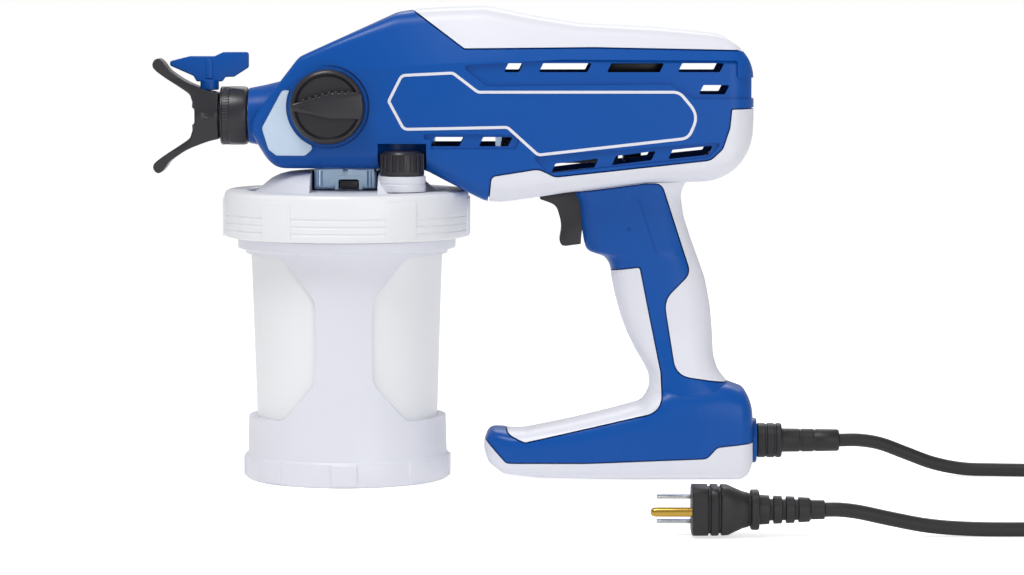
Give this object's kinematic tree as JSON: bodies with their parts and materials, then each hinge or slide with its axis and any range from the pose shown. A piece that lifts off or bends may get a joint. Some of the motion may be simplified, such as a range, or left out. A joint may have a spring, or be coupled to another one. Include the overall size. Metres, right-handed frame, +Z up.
{
  "type": "airless paint sprayer",
  "caption": "Hand-held mains airless paint sprayer: blue and white pistol-grip housing, tip guard, selector knob, screwed-on cup on an open stand, short cord with plug.",
  "frame": {"origin": "middle of the sprayer's footprint, at the level of the table, cord left out", "axes": "-X the way the nozzle points, -Y the side with the selector knob, +Z up"},
  "size_m": [0.6228, 0.323, 0.2685],
  "materials": {
    "blue_plastic": "smooth moulded ABS, semi-gloss",
    "white_plastic": "fine satin moulding",
    "pale_plastic": "satin moulding",
    "black_plastic": "satin moulding",
    "milky_plastic": "milky, slightly translucent moulding",
    "clear_liner": "thin translucent liner",
    "black_rubber": "smooth cord sheath",
    "steel": "machined",
    "cast_metal": "die cast",
    "brass": "bright",
    "nylon": "natural nylon",
    "circuit_board": "solder mask"
  },
  "bodies": {
    "housing": {"body_shell_left": "blue_plastic", "body_shell_right": "blue_plastic", "top_cover": "white_plastic", "rear_cover": "white_plastic", "handle_shell_left": "blue_plastic", "handle_shell_right": "blue_plastic", "front_grip": "white_plastic", "rear_grip": "white_plastic", "foot_base": "white_plastic", "dial_plate": "pale_plastic", "outlet_fitting": "steel", "pump_block": "cast_metal", "cup_mount": "cast_metal", "inlet_valve_seat": "steel", "motor_can": "steel", "motor_end_cap": "black_plastic", "motor_plate": "cast_metal", "bearing_plate": "cast_metal", "speed_control_board": "circuit_board", "trigger_pin": "steel", "trigger_switch": "black_plastic", "strain_relief": "black_rubber", "power_cord": "black_rubber", "plug_body": "black_rubber", "plug_blade_upper": "steel", "plug_blade_lower": "steel", "plug_earth_pin": "brass", "cup_cover": "white_plastic", "suction_tube": "nylon", "strainer": "white_plastic"},
    "rotor": {"motor_shaft": "steel", "armature": "steel", "cooling_fan": "black_plastic", "pinion": "steel"},
    "crank": {"drive_gear": "nylon", "crankshaft": "steel"},
    "piston": {"piston_yoke": "steel", "piston_rod": "steel"},
    "selector": {"selector_knob": "black_plastic", "prime_valve_stem": "steel"},
    "nut": {"guard_nut": "black_plastic"},
    "guard": {"tip_guard": "black_plastic"},
    "tip": {"tip_barrel": "steel", "tip_flag": "blue_plastic"},
    "trigger": {"trigger": "black_plastic"},
    "plunger": {"switch_plunger": "white_plastic"},
    "purge": {"purge_cap": "black_plastic"},
    "cup_holder": {"cup_support": "white_plastic", "clamp_ring": "milky_plastic", "cup": "clear_liner"}
  },
  "joints": [
    {"name": "motor_spin", "type": "hinge", "parent": "housing", "child": "rotor", "pos_m": [0.06, 0, 0.204], "axis": [1, 0, 0], "continuous": true},
    {"name": "crank_turn", "type": "hinge", "parent": "housing", "child": "crank", "pos_m": [0.01, 0, 0.228], "axis": [1, 0, 0], "continuous": true},
    {"name": "piston_slide", "type": "slide", "parent": "housing", "child": "piston", "axis": [0, 0, 1], "range_m": [-0.006, 0.006]},
    {"name": "selector_turn", "type": "hinge", "parent": "housing", "child": "selector", "pos_m": [-0.071, -0.03, 0.212], "axis": [0, -1, 0], "range_deg": [0, 90]},
    {"name": "nut_turn", "type": "hinge", "parent": "housing", "child": "nut", "pos_m": [-0.125, 0, 0.206], "axis": [1, 0, 0], "continuous": true},
    {"name": "guard_turn", "type": "hinge", "parent": "housing", "child": "guard", "pos_m": [-0.14, 0, 0.206], "axis": [1, 0, 0], "range_deg": [-90, 90]},
    {"name": "tip_turn", "type": "hinge", "parent": "guard", "child": "tip", "pos_m": [-0.1396, 0, 0.206], "axis": [0, 0, 1], "range_deg": [0, 180]},
    {"name": "trigger_pull", "type": "hinge", "parent": "housing", "child": "trigger", "pos_m": [0.078, 0, 0.158], "axis": [0, -1, 0], "range_deg": [0, 12], "stiffness_Nm_per_rad": 0.4, "springref_deg": -17.19},
    {"name": "plunger_slide", "type": "slide", "parent": "housing", "child": "plunger", "axis": [1, 0, 0], "range_m": [0, 0.002]},
    {"name": "purge_lift", "type": "slide", "parent": "housing", "child": "purge", "axis": [0, 0, 1], "range_m": [0, 0.003]},
    {"name": "cup_unscrew", "type": "hinge", "parent": "housing", "child": "cup_holder", "pos_m": [-0.062, 0, 0.15], "axis": [0, 0, 1], "range_deg": [0, 270]}
  ],
  "couplings": [
    {"joint": "crank_turn", "follows": "motor_spin", "ratio": -0.25},
    {"joint": "plunger_slide", "follows": "trigger_pull", "m_per_rad": 0.00954}
  ]
}
